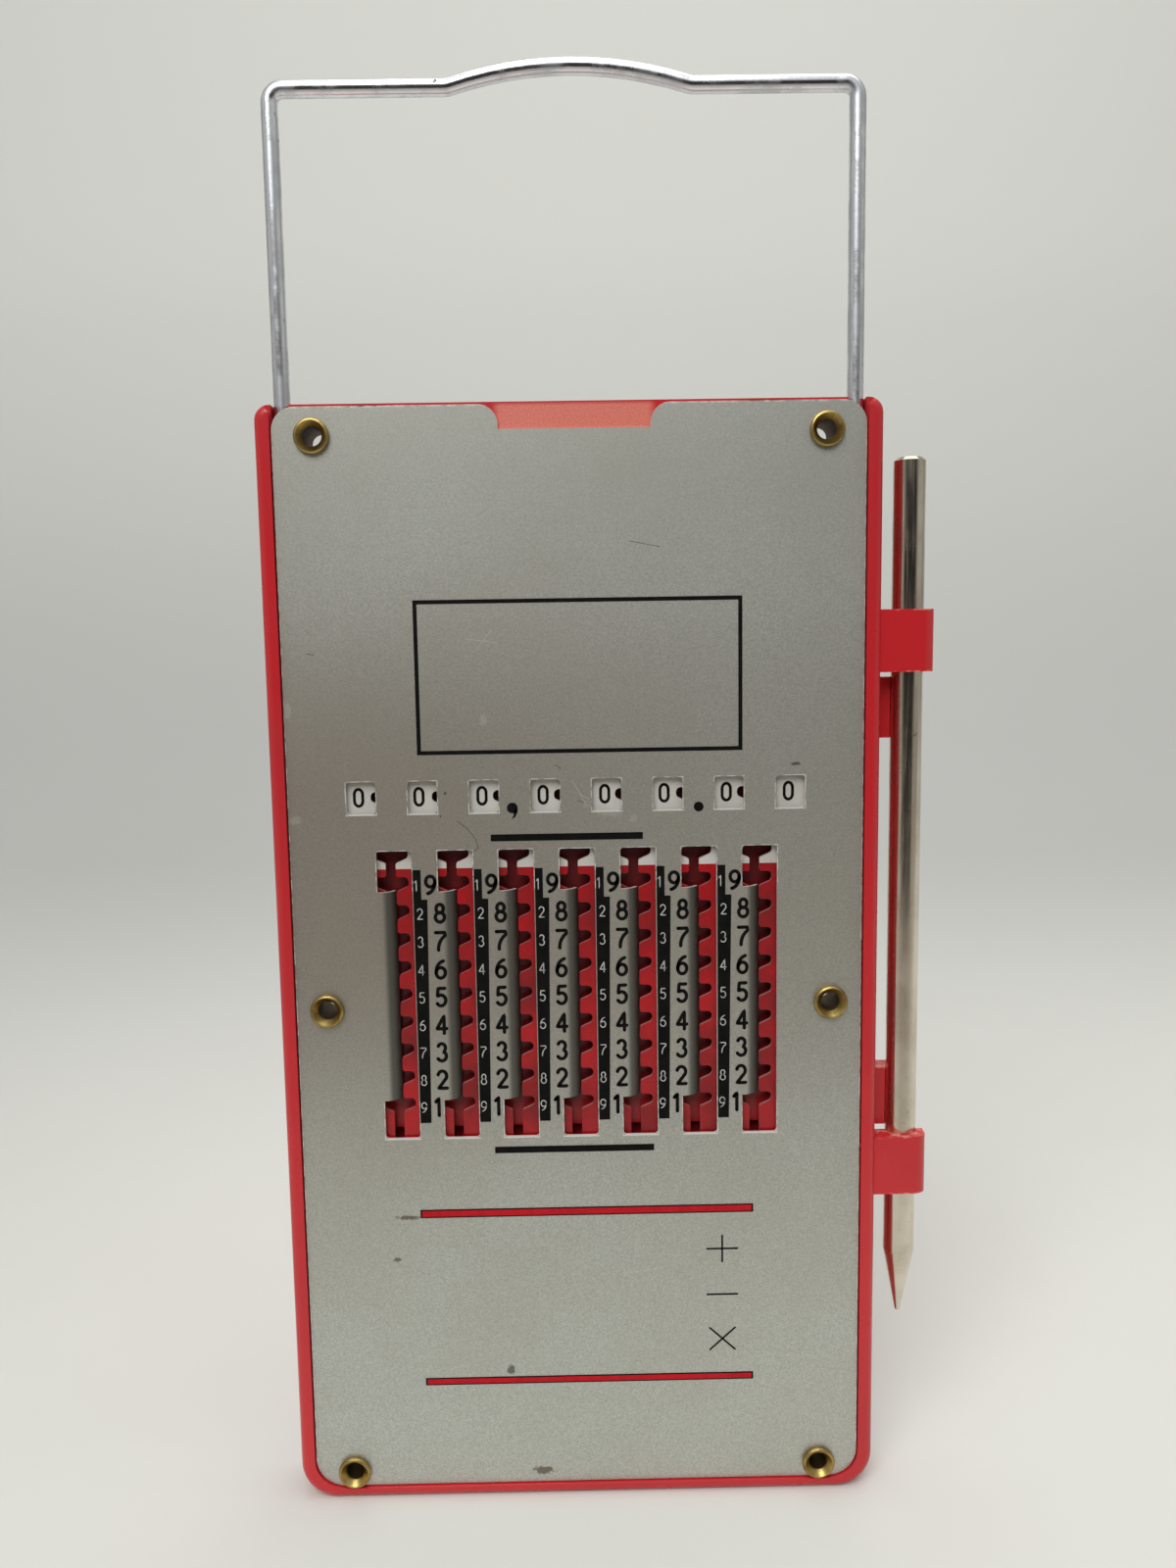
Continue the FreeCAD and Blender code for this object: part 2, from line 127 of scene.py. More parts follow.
# %% A net of nodes
class Net:
    """Adds nodes to one node tree."""

    def __init__(self, tree):
        self.tree = tree

    def fill(self, socket, value):
        """Links another node's output to a socket, or writes a plain value into it."""
        if isinstance(value, bpy.types.NodeSocket):
            self.tree.links.new(value, socket)
        else:
            socket.default_value = value

    def put(self, kind, values=None, **settings):
        """A node of a kind, with its settings, and its inputs filled by name or number."""
        node = self.tree.nodes.new(kind)
        for name, value in settings.items():
            setattr(node, name, value)
        for name, value in (values or {}).items():
            self.fill(node.inputs[name], value)
        return node

    def math(self, operation, a, b=0.0, clamp=False):
        """One sum on one or two numbers."""
        return self.put("ShaderNodeMath", {0: a, 1: b}, operation=operation, use_clamp=clamp).outputs[0]

    def vector(self, operation, a, b=(0.0, 0.0, 0.0)):
        """One sum on vectors; a length, a distance or a dot product comes out as a number."""
        node = self.put("ShaderNodeVectorMath", {0: a, 1: b}, operation=operation)
        is_number = operation in ("LENGTH", "DISTANCE", "DOT_PRODUCT")
        return node.outputs["Value" if is_number else "Vector"]

    def both(self, *masks):
        """Where all the masks are: their product."""
        total = masks[0]
        for mask in masks[1:]:
            total = self.math("MULTIPLY", total, mask)
        return total

    def either(self, *masks):
        """Where any of the masks is: the largest of them."""
        total = masks[0]
        for mask in masks[1:]:
            total = self.math("MAXIMUM", total, mask)
        return total

    def ramp(self, value, low, high, start=0.0, end=1.0):
        """Takes a value between low and high smoothly to start and end."""
        ends = {"Value": value, "From Min": low, "From Max": high, "To Min": start, "To Max": end}
        return self.put("ShaderNodeMapRange", ends, interpolation_type="SMOOTHSTEP").outputs[0]

    def mix(self, share, a, b):
        """Mixes two colours."""
        node = self.put("ShaderNodeMix", data_type="RGBA")
        for number, value in ((0, share), (6, a), (7, b)):
            self.fill(node.inputs[number], value)
        return node.outputs[2]

    def noise(self, place, scale, detail=3.0, rough=0.55):
        """Soft random values from 0 to 1, at so many cells to the metre."""
        values = {"Vector": place, "Scale": scale, "Detail": detail, "Roughness": rough}
        return self.put("ShaderNodeTexNoise", values).outputs[0]


print("kinds of sum:", [name for name in vars(Net) if not name.startswith("_")])


# %% Start a group, and write a colour
def new_group(name, inputs, outputs):
    """A shader node group with named sockets: its net, what it is given and what it makes."""
    tree = bpy.data.node_groups.new(name, "ShaderNodeTree")
    for label, kind, default in inputs:
        socket = tree.interface.new_socket(name=label, in_out="INPUT", socket_type=kind)
        if default is not None:
            socket.default_value = default
    for label, kind in outputs:
        tree.interface.new_socket(name=label, in_out="OUTPUT", socket_type=kind)
    given = tree.nodes.new("NodeGroupInput").outputs
    made = tree.nodes.new("NodeGroupOutput").inputs
    return Net(tree), given, made


def colour(red, green, blue):
    """A colour written as on a screen, 0 to 255, in the linear values that shaders use."""
    def linear(c):
        c /= 255
        return c / 12.92 if c <= 0.04045 else ((c + 0.055) / 1.055) ** 2.4
    return (linear(red), linear(green), linear(blue), 1.0)


VALUE, PLACE = "NodeSocketFloat", "NodeSocketVector"
print("a red in linear values:", [round(v, 3) for v in colour(190, 30, 34)[:3]])

# %% [markdown]
# ## Shared effects: grime, grain and cut edges
#
# Old things share a few kinds of wear. *Grime* is a broad, uneven darkening with small specks. *Grain*
# is a fine speckle, as in sprayed silver paint or a cast surface, which also gives a little bump. *Cut
# edge* tells the sheared edges of a flat sheet from its faces by the surface's direction, since a
# sheet's faces all look along Y. Each could be wired again in every material. As a group it has one
# recipe and its own numbers in each material, so that a change to the recipe reaches all of them.

# %% Grime and specks
net, given, made = new_group(
    "grime",
    [("Place", PLACE, None), ("Patch Scale", VALUE, 60.0), ("Speck Scale", VALUE, 900.0),
     ("Speck Share", VALUE, 0.3)],
    [("Patches", VALUE), ("Specks", VALUE)])
broad = net.noise(given["Place"], given["Patch Scale"], 5.0, 0.6)
fine = net.noise(given["Place"], given["Speck Scale"], 2.0, 0.5)
threshold = net.math("SUBTRACT", 0.86, net.both(given["Speck Share"], 0.3))
net.fill(made["Patches"], net.ramp(broad, 0.35, 0.7))
net.fill(made["Specks"], net.ramp(fine, threshold, net.math("ADD", threshold, 0.05)))
GRIME = net.tree
print("grime has", len(GRIME.nodes), "nodes")

# %% Fine grain with a bump
net, given, made = new_group(
    "grain",
    [("Place", PLACE, None), ("Scale", VALUE, 4000.0), ("Height", VALUE, 0.00001), ("Strength", VALUE, 0.4)],
    [("Speckle", VALUE), ("Normal", PLACE)])
speckle = net.noise(given["Place"], given["Scale"], 2.0, 0.6)
bump = net.put("ShaderNodeBump", {"Strength": given["Strength"], "Distance": given["Height"],
                                  "Height": speckle})
net.fill(made["Speckle"], net.ramp(speckle, 0.3, 0.7))
net.fill(made["Normal"], bump.outputs[0])
GRAIN = net.tree
print("grain has", len(GRAIN.nodes), "nodes")

# %% Cut edges of sheet metal
net, given, made = new_group("cut_edge", [("Softness", VALUE, 0.15)], [("Edge", VALUE)])
normal = net.put("ShaderNodeNewGeometry").outputs["True Normal"]
facing = net.put("ShaderNodeSeparateXYZ", {0: normal}).outputs[Y]
sideways = net.math("SUBTRACT", 1.0, net.math("ABSOLUTE", facing))
net.fill(made["Edge"], net.ramp(sideways, net.math("SUBTRACT", 0.8, given["Softness"]), 0.85))
CUT_EDGE = net.tree
print("cut edge has", len(CUT_EDGE.nodes), "nodes")

# %% [markdown]
# ## Shared effect: the rims of a row of openings
#
# The windows and slots were punched through the lacquered sheet, and pale lines are drawn at their rims.
# The rims could be separate thin meshes. A mask is simpler: openings in a row repeat at one pitch, so
# the remainder of X by the pitch folds all of them onto one, and the distance to that one rectangle says
# how near a point is to a rim. *Around* is the thin line all round an opening, and *Lower* the bolder one
# under it, a painted highlight that stands for the lit cut edge facing up. Distances are counted in widths
# of the line.

# %% Rims of a row of openings
net, given, made = new_group(
    "opening_rim",
    [("Place", PLACE, None), ("Offset", VALUE, 0.0), ("Half Wide", VALUE, 0.001), ("Middle", VALUE, 0.05),
     ("Half High", VALUE, 0.001), ("Line", VALUE, 0.0001)],
    [("Around", VALUE), ("Lower", VALUE)])
place = net.put("ShaderNodeSeparateXYZ", {0: given["Place"]}).outputs
folded = net.math("FLOORED_MODULO", net.math("SUBTRACT", place[X], given["Offset"]), PITCH * MM)
across = net.math("ABSOLUTE", net.math("SUBTRACT", folded, PITCH / 2 * MM))
up = net.math("SUBTRACT", place[Z], given["Middle"])
out_x = net.math("MAXIMUM", net.math("SUBTRACT", across, given["Half Wide"]), 0.0)
out_z = net.math("MAXIMUM", net.math("SUBTRACT", net.math("ABSOLUTE", up), given["Half High"]), 0.0)
reach = net.vector("LENGTH", net.put("ShaderNodeCombineXYZ", {X: out_x, Z: out_z}).outputs[0])
widths = net.math("DIVIDE", reach, given["Line"])
outside = net.ramp(widths, 0.0, 0.15)
under = net.ramp(net.math("ADD", up, given["Half High"]), 0.02 * MM, -0.02 * MM)
net.fill(made["Around"], net.both(outside, net.ramp(widths, 1.3, 0.7)))
net.fill(made["Lower"], net.both(net.ramp(widths, 1.9, 1.2), under))
OPENING_RIM = net.tree
print("opening rim has", len(OPENING_RIM.nodes), "nodes")

# %% [markdown]
# ## Shared effects: one blot and one scratch
#
# A few marks on the sheet are so plain that random noise can't stand for them. They could be painted
# on an image, which this notebook does without. *Blot* is one soft spot at a given place with a ragged
# rim, and *scratch* one thin broken line between two places: the distance from a point to a line is
# found by dropping the point onto the line and keeping the foot between the two ends.

# %% One soft blot
net, given, made = new_group(
    "blot",
    [("Place", PLACE, None), ("Centre", PLACE, (0, 0, 0)), ("Stretch", PLACE, (1, 1, 1)),
     ("Radius", VALUE, 0.001), ("Rough Rim", VALUE, 0.4)],
    [("Blot", VALUE)])
away = net.vector("SUBTRACT", given["Place"], given["Centre"])
reach = net.vector("LENGTH", net.vector("MULTIPLY", away, given["Stretch"]))
ragged = net.math("SUBTRACT", net.noise(given["Place"], 2500.0, 4.0, 0.65), 0.5)
ragged = net.both(ragged, given["Rough Rim"], 2.0)
reach = net.math("ADD", net.math("DIVIDE", reach, given["Radius"]), ragged)
net.fill(made["Blot"], net.ramp(reach, 1.1, 0.6))
BLOT = net.tree
print("blot has", len(BLOT.nodes), "nodes")

# %% One scratch
net, given, made = new_group(
    "scratch",
    [("Place", PLACE, None), ("From", PLACE, (0, 0, 0)), ("To", PLACE, (0, 0, 0.01)),
     ("Half Width", VALUE, 0.00004)],
    [("Scratch", VALUE)])
run = net.vector("SUBTRACT", given["To"], given["From"])
off = net.vector("SUBTRACT", given["Place"], given["From"])
covered = net.vector("DOT_PRODUCT", off, run)
whole = net.vector("DOT_PRODUCT", run, run)
share = net.math("DIVIDE", covered, whole, clamp=True)
foot = net.put("ShaderNodeVectorMath", {0: run, "Scale": share}, operation="SCALE").outputs[0]
broken = net.both(net.noise(given["Place"], 1800.0, 2.0), 0.8)
gap = net.math("ADD", net.math("DIVIDE", net.vector("DISTANCE", off, foot), given["Half Width"]), broken)
net.fill(made["Scratch"], net.ramp(gap, 1.5, 0.9))
SCRATCH = net.tree
print("groups:", sorted(g.name for g in bpy.data.node_groups))

# %% [markdown]
# ## A material's frame
#
# Every material here starts the same way: a Principled shader, and the piece's own coordinates. Object
# coordinates are used because the CAD pieces sit at the origin with their place in the mesh, so the
# coordinates are real metres on the adder and stay on a slide when it moves. The methods below take
# millimetres, since that is how the adder was measured.


# %% Start a material
class Finish(Net):
    """A material with a Principled shader, and the piece's own coordinates at hand."""

    def __init__(self, name, **values):
        self.material = bpy.data.materials.new(name)
        self.material.use_nodes = True
        super().__init__(self.material.node_tree)
        self.shader = self.tree.nodes["Principled BSDF"]
        for socket, value in values.items():
            self.shader.inputs[socket.replace("_", " ")].default_value = value
        self.place = self.put("ShaderNodeTexCoord").outputs["Object"]

    def group(self, tree, **values):
        """Places a shared group, with its own values, and returns its outputs."""
        node = self.put("ShaderNodeGroup", node_tree=tree)
        for label, value in values.items():
            self.fill(node.inputs[label.replace("_", " ")], value)
        if "Place" in node.inputs:
            self.fill(node.inputs["Place"], self.place)
        return node.outputs

    def feed(self, **sources):
        """Links outputs to the shader's sockets."""
        for socket, source in sources.items():
            self.fill(self.shader.inputs[socket.replace("_", " ")], source)

    def axis(self, index):
        """One coordinate of the place on the piece, in metres."""
        return self.put("ShaderNodeSeparateXYZ", {0: self.place}).outputs[index]

    def along(self, index, start, end, low=0.0, high=1.0):
        """Goes smoothly from low to high between two places on one axis, in millimetres."""
        return self.ramp(self.axis(index), start * MM, end * MM, low, high)

    def band(self, index, low, high, soft=0.1):
        """1 between two places on one axis, in millimetres, and 0 outside."""
        rises = self.along(index, low - soft, low + soft)
        falls = self.along(index, high + soft, high - soft)
        return self.both(rises, falls)


def dress(name, finish):
    """Gives a CAD node a finish."""
    node = nodes[name]
    node.data.materials.clear()
    node.data.materials.append(finish.material)


print("a finish adds:", [name for name in vars(Finish) if not name.startswith("_")])

# %% [markdown]
# ## Red moulded case
#
# The case is hard plastic, coloured all through, with a moulding gloss that handling has dulled
# unevenly. A plain red with one roughness would look like a toy block. Plastic isn't metal, so the
# colour comes from Base Color, and the unevenness goes mostly into Roughness, where the eye looks for it.

# %% Red plastic
case_red = Finish("red_plastic", IOR=1.49)
grime = case_red.group(GRIME, Patch_Scale=45.0, Speck_Scale=1500.0, Speck_Share=0.25)
grain = case_red.group(GRAIN, Scale=700.0, Height=0.00003, Strength=0.25)
tone = case_red.mix(grime["Patches"], colour(202, 40, 46), colour(190, 36, 43))
tone = case_red.mix(case_red.both(grime["Specks"], 0.5), tone, colour(90, 22, 24))
print("case finish:", case_red.material.name)

# %% [markdown]
# ## Wear and painted shade on the plastic
#
# In the notch at the top, fingers have worn the plastic to a pale salmon. The floor behind the slides
# carries painted shade, a dull dark red, lighter at the slots' lower ends. Along the claws' edges the
# mould has left a pale burr. Each could be a piece of its own material, but the case is one CAD mesh, so
# a mask is made from bands along the axes and mixes another colour in.

# %% Salmon wear in the finger notch
NOTCH_LEFT, NOTCH_RIGHT = -8.2, 9.2
NOTCH_LOW, NOTCH_HIGH = 127.0, 130.2
fine_grain = case_red.group(GRAIN, Scale=5000.0, Height=0.00001, Strength=0.3)
rubbed = case_red.both(case_red.band(X, NOTCH_LEFT, NOTCH_RIGHT, 0.6),
                       case_red.band(Z, NOTCH_LOW, NOTCH_HIGH, 0.3), case_red.along(Y, -1.8, -2.4))
worn = case_red.mix(fine_grain["Speckle"], colour(236, 138, 122), colour(218, 118, 106))
tone = case_red.mix(rubbed, tone, worn)
print("worn notch:", round(NOTCH_RIGHT - NOTCH_LEFT, 1), "mm wide")

# %% Painted shade on the floor behind the slides
FLOOR_HALF = 28.5
floor_painted_shade = case_red.both(case_red.along(Y, -1.7, -1.2), case_red.band(X, -FLOOR_HALF, FLOOR_HALF),
                     case_red.along(Z, 45.0, 53.5, 0.25, 1.0), case_red.along(Y, 3.3, 3.0))
# painted shade: the floor behind the slides is darkened, less so at the slots' lower ends
tone = case_red.mix(case_red.both(floor_painted_shade, 0.85), tone, colour(78, 14, 18))
print("dull floor:", 2 * FLOOR_HALF, "mm wide")

# %% Pale burr along the claws' edges
CLAW_FEET = (37.45, 45.15, 92.20, 99.90)
CLAW_HIGH = 7.1
BURR_HALF = 0.13
edges = [foot + step for foot in CLAW_FEET for step in (0.0, CLAW_HIGH)]
lines = [case_red.band(Z, edge - BURR_HALF, edge + BURR_HALF, 0.06) for edge in edges]
broken = case_red.ramp(case_red.noise(case_red.place, 900.0, 4.0), 0.46, 0.6)
burr = case_red.both(case_red.either(*lines), case_red.along(X, 35.3, 35.8), broken)
tone = case_red.mix(burr, tone, colour(226, 130, 118))
print("claw burrs on", len(edges), "edges")

# %% Dress the case
gloss = case_red.ramp(grime["Patches"], 0, 1, 0.24, 0.38)
case_red.feed(Base_Color=tone, Roughness=gloss, Normal=grain["Normal"])
dress("case", case_red)
print("case dressed with", len(case_red.tree.nodes), "nodes")

# %% [markdown]
# ## Silver sheet
#
# The front is thin sheet metal sprayed with silver lacquer: satin, slightly grey-green, with a fine
# sparkle and dust in it. Its colour carries a painted brown reflection across the middle, strongest at
# the left, and painted shade that darkens it near the top. A sparkle could be a bump alone, but then it
# fades with the light, so the grain's speckle also shifts the colour a little.

# %% Silver lacquer
silver = Finish("silver_lacquer")
grime = silver.group(GRIME, Patch_Scale=35.0, Speck_Scale=2200.0, Speck_Share=0.2)
grain = silver.group(GRAIN, Scale=7500.0, Height=0.00001, Strength=0.3)
tone = silver.mix(grain["Speckle"], colour(180, 183, 176), colour(212, 214, 206))
# painted reflection: a darker brown across the middle, strongest at the left
painted_brown_reflection = silver.both(silver.band(Z, 52.0, 104.0, 18.0), silver.along(X, 30.0, -30.0, 0.25, 0.6))
tone = silver.mix(painted_brown_reflection, tone, colour(140, 122, 107))
# painted shade: the lacquer darker towards the top
painted_top_shade = silver.along(Z, 107.0, 124.0, 0.0, 0.45)
tone = silver.mix(painted_top_shade, tone, colour(168, 168, 160))
tone = silver.mix(silver.both(grime["Patches"], 0.3), tone, colour(176, 170, 156))
tone = silver.mix(silver.both(grime["Specks"], 0.6), tone, colour(80, 72, 62))
print("sheet finish:", silver.material.name)

# %% [markdown]
# ## Painted shade, painted highlights, bare edges and marks on the sheet
#
# The lips that bend in beside the slots carry painted shade, darker away from the fold. Under each
# window and slot a bold bright line is a painted highlight, as on a lit cut edge that faces up, and a
# thin pale line runs round each opening. The sheet's own outline is worn to bare metal, which draws thin
# bright lines. And there are a few single marks. All are masks over the lacquer, laid in this order: the
# painted shade on the lips first, then the bare metal and the painted highlights, then the marks on top.

# %% Painted shade on the bent lips
LIP_SHADE_LOW, LIP_SHADE_HIGH = 50.2, 75.5
over_lip = silver.math("SUBTRACT", silver.axis(X), slot_left(0) * MM)
over_lip = silver.math("FLOORED_MODULO", over_lip, PITCH * MM)
by_lips = silver.band(Z, LIP_SHADE_LOW, LIP_SHADE_HIGH)
# painted shade: the bent lips darker from about half a millimetre past the fold
lip_painted_shade = silver.both(silver.ramp(over_lip, 0.4 * MM, 1.15 * MM),
                       silver.along(Y, PLATE_Y + 0.02, PLATE_Y + 0.12), by_lips)
tone = silver.mix(silver.both(lip_painted_shade, 0.8), tone, colour(74, 76, 70))
print("dirty lips:", round(LIP_SHADE_HIGH - LIP_SHADE_LOW, 1), "mm high")

# %% Rim lines and painted highlight of the windows and slots
RIM_LINE = 0.09
window_rim = silver.group(OPENING_RIM, Offset=0.0, Half_Wide=WINDOW_WIDE / 2 * MM, Middle=WINDOW_Z * MM,
                          Half_High=WINDOW_HIGH / 2 * MM, Line=RIM_LINE * MM)
slot_middle = slot_left(0) + SLOT_WIDE / 2
slot_rim = silver.group(OPENING_RIM, Offset=(slot_middle - PITCH / 2) * MM, Half_Wide=SLOT_WIDE / 2 * MM,
                        Middle=(SLOT_LOW + SLOT_HIGH) / 2 * MM, Half_High=(SLOT_HIGH - SLOT_LOW) / 2 * MM,
                        Line=RIM_LINE * MM)
by_slots = silver.band(X, slot_left(0) - 0.2, slot_left(6) + SLOT_WIDE + 0.2)
off_lips = silver.math("SUBTRACT", 1.0, by_lips)
# painted highlight: the bold bright line under each opening, as on a lit cut edge facing up
lower_rim_highlight = silver.either(window_rim["Lower"], silver.both(slot_rim["Lower"], by_slots))
faint_rim = silver.either(window_rim["Around"], silver.both(slot_rim["Around"], by_slots, off_lips))
chipped = silver.ramp(silver.noise(silver.place, 1500.0, 4.0), 0.4, 0.58)
rim = silver.either(silver.both(lower_rim_highlight, 0.9), silver.both(faint_rim, chipped))
rim = silver.both(rim, silver.band(X, -27.0, 27.0))
print("openings with worn rims:", 8 + 7)

# %% Worn outline of the sheet
from_middle = silver.math("ABSOLUTE", silver.axis(X))
outline = silver.either(silver.ramp(from_middle, (SHEET_HALF - 0.16) * MM, (SHEET_HALF - 0.04) * MM),
                        silver.along(Z, SHEET_TOP - 0.3, SHEET_TOP - 0.1))
rubbed_off = silver.ramp(silver.noise(silver.place, 700.0, 5.0, 0.65), 0.42, 0.6)
edge = silver.group(CUT_EDGE, Softness=0.1)["Edge"]
# bare metal on the cut edges and worn outline, plus the painted highlight under the openings
bare_metal_and_highlight = silver.either(edge, rim, silver.both(outline, rubbed_off, 0.85))
tone = silver.mix(bare_metal_and_highlight, tone, colour(232, 231, 224))
print("sheet outline:", round(2 * SHEET_HALF, 2), "mm wide, top at", round(SHEET_TOP, 2))

# %% Scratches and blots
SCRATCHES = [
    ("dark", (6.4, 115.03), (9.86, 114.35)), ("dark", (-30.2, 102.95), (-29.3, 102.88)),
    ("dark", (-13.7, 83.62), (-12.54, 82.69)), ("dark", (-12.54, 82.69), (-11.61, 81.48)),
    ("dark", (-11.61, 81.48), (-11.36, 80.42)), ("dark", (-11.36, 80.42), (-12.16, 79.94)),
    ("dark", (0.26, 85.77), (1.39, 85.4)), ("dark", (-2.3, 89.9), (-1.7, 89.5)),
    ("pale", (4.97, 28.33), (9.47, 28.86)), ("pale", (-0.4, 88.16), (1.11, 85.41)),
    ("pale", (0.4, 86.6), (1.5, 85.9)), ("pale", (-12.2, 104.4), (-8.6, 103.9)),
    ("pale", (-11.0, 103.2), (-9.2, 105.4)), ("pale", (-16.3, 16.5), (-14.2, 16.9)),
]
BLOTS = [
    ("brown", (-20.8, 35.9), 1.5, 0.32), ("brown", (-5.3, 3.0), 1.35, 0.55),
    ("brown", (-22.4, 30.6), 0.5, 0.3), ("dark", (25.2, 89.6), 0.55, 0.22),
    ("dark", (-15.0, 86.9), 0.18, 0.2), ("dark", (-15.6, 84.2), 0.14, 0.16),
    ("pale", (3.8, 84.2), 1.5, 0.32), ("pale", (6.6, 83.6), 0.5, 0.5), ("pale", (1.2, 85.3), 0.45, 0.4),
    ("brown", (-22.5, 130.2), 2.4, 0.16), ("brown", (22.0, 130.2), 3.2, 0.14),
    ("pale", (-32.6, 96.5), 0.5, 0.9), ("pale", (-32.3, 84.0), 0.9, 0.5),
    ("pale", (-10.4, 95.2), 0.5, 0.8), ("dark", (-9.0, 16.2), 0.5, 0.6),
]
SCRATCH_SHARE = 0.8
BLOT_SHARE = {"brown": 0.75, "dark": 0.7, "pale": 0.35}
MARK_COLOUR = {"brown": colour(92, 76, 54), "dark": colour(48, 44, 40), "pale": colour(214, 212, 204)}


def on_sheet(x, z):
    """A place on the sheet's front, in metres."""
    return (x * MM, PLATE_Y * MM, z * MM)


for shade, start, end in SCRATCHES:
    mark = silver.group(SCRATCH, From=on_sheet(*start), To=on_sheet(*end), Half_Width=0.045 * MM)["Scratch"]
    tone = silver.mix(silver.both(mark, SCRATCH_SHARE), tone, MARK_COLOUR[shade])
for shade, centre, wide, high in BLOTS:
    mark = silver.group(BLOT, Centre=on_sheet(*centre), Stretch=(1.0, 1.0, wide / high), Radius=wide * MM,
                        Rough_Rim=1.1)["Blot"]
    tone = silver.mix(silver.both(mark, BLOT_SHARE[shade]), tone, MARK_COLOUR[shade])
print("marks on the sheet:", len(SCRATCHES) + len(BLOTS))

# %% Dress the sheet
silver.feed(Base_Color=tone, Metallic=silver.ramp(bare_metal_and_highlight, 0, 1, 0.85, 0.25),
            Roughness=silver.ramp(bare_metal_and_highlight, 0, 1, 0.5, 0.35), Normal=grain["Normal"])
dress("front_plate", silver)
print("sheet dressed with", len(silver.tree.nodes), "nodes")

# %% [markdown]
# ## Number slides
#
# Each slide is a thin metal strip, enamelled red below and white above, where the digits are printed.
# The enamel has gone dark in patches. Two materials could be given to two sets of faces, but the mesh
# has no edge where the colour changes, so the change is a sharp step at one height in one material.
# The cut edges of the teeth show some bare metal through the enamel.

# %% Enamel, red and white
CHANGE_Z = 78.0
enamel = Finish("slide_enamel", IOR=1.5)
grime = enamel.group(GRIME, Patch_Scale=120.0, Speck_Scale=2600.0, Speck_Share=0.35)
grain = enamel.group(GRAIN, Scale=1600.0, Height=0.00002, Strength=0.25)
edge = enamel.group(CUT_EDGE, Softness=0.1)["Edge"]
red = enamel.mix(grime["Patches"], colour(180, 20, 28), colour(128, 15, 21))
white = enamel.mix(grime["Patches"], colour(212, 210, 203), colour(192, 189, 181))
tone = enamel.mix(enamel.along(Z, CHANGE_Z - 0.03, CHANGE_Z + 0.03), red, white)
tone = enamel.mix(enamel.both(grime["Specks"], 0.7), tone, colour(60, 30, 28))
tone = enamel.mix(enamel.both(edge, 0.4), tone, colour(206, 176, 166))
gloss = enamel.ramp(grime["Patches"], 0, 1, 0.25, 0.42)
enamel.feed(Base_Color=tone, Roughness=gloss, Normal=grain["Normal"])
for n in range(1, 9):
    dress(f"slide_{n}", enamel)
print("slides dressed:", n)

# %% [markdown]
# ## Zinc wire and bar
#
# The bail is steel wire with a zinc plating: bluish grey, fairly bright, with dull patches and small dark
# pits where the plating has gone. A metal takes its look from what it reflects, so most of the work is
# in the roughness and in the bump, which breaks the reflections up. A second, broad noise keeps the
# pits to some stretches of the wire.

# %% Zinc plating
zinc = Finish("zinc_plating", Metallic=1.0)
grime = zinc.group(GRIME, Patch_Scale=260.0, Speck_Scale=1300.0, Speck_Share=0.5)
grain = zinc.group(GRAIN, Scale=1500.0, Height=0.00002, Strength=0.35)
tone = zinc.mix(grime["Patches"], colour(236, 238, 242), colour(204, 207, 212))
worn_stretches = zinc.ramp(zinc.noise(zinc.place, 70.0, 2.0), 0.42, 0.55)
tone = zinc.mix(zinc.both(grime["Specks"], worn_stretches), tone, colour(70, 64, 60))
zinc.feed(Base_Color=tone, Roughness=zinc.ramp(grime["Patches"], 0, 1, 0.2, 0.4), Normal=grain["Normal"])
dress("reset_bail", zinc)
dress("reset_bar", zinc)
print("zinc on the bail and its bar")

# %% [markdown]
# ## Brass eyelets
#
# Six brass tubes are rolled over to hold the sheet to the case. The rims are rubbed and bright on top and
# brown with tarnish lower down and inside the tube. Tarnish could be random patches alone. Here most of
# it comes from the distance to the front, because what stands proud is rubbed clean.

# %% Tarnished brass
brass = Finish("tarnished_brass", Metallic=1.0)
grime = brass.group(GRIME, Patch_Scale=500.0, Speck_Scale=2600.0, Speck_Share=0.6)
grain = brass.group(GRAIN, Scale=3000.0, Height=0.00003, Strength=0.5)
dull = brass.either(brass.both(grime["Patches"], 0.55), brass.along(Y, -3.45, -2.6))
tone = brass.mix(dull, colour(186, 160, 96), colour(96, 76, 46))
tone = brass.mix(brass.both(grime["Specks"], 0.7), tone, colour(50, 36, 22))
brass.feed(Base_Color=tone, Roughness=brass.ramp(dull, 0, 1, 0.3, 0.6), Normal=grain["Normal"])
eyelets = [name for name in nodes if name.startswith("eyelet_")]
for name in eyelets:
    dress(name, brass)
print("eyelets dressed:", len(eyelets))

# %% [markdown]
# ## Nickel pointer
#
# The pointer is a drawn rod with matte nickel on it: fine lines run along it from the drawing die and
# its tip is ground. The lines could be modelled, but they are far thinner than a mesh should follow.
# Stretching the noise coordinates along the rod draws them in roughness and bump. Most pits are on the
# side away from the case, where the rod was handled.

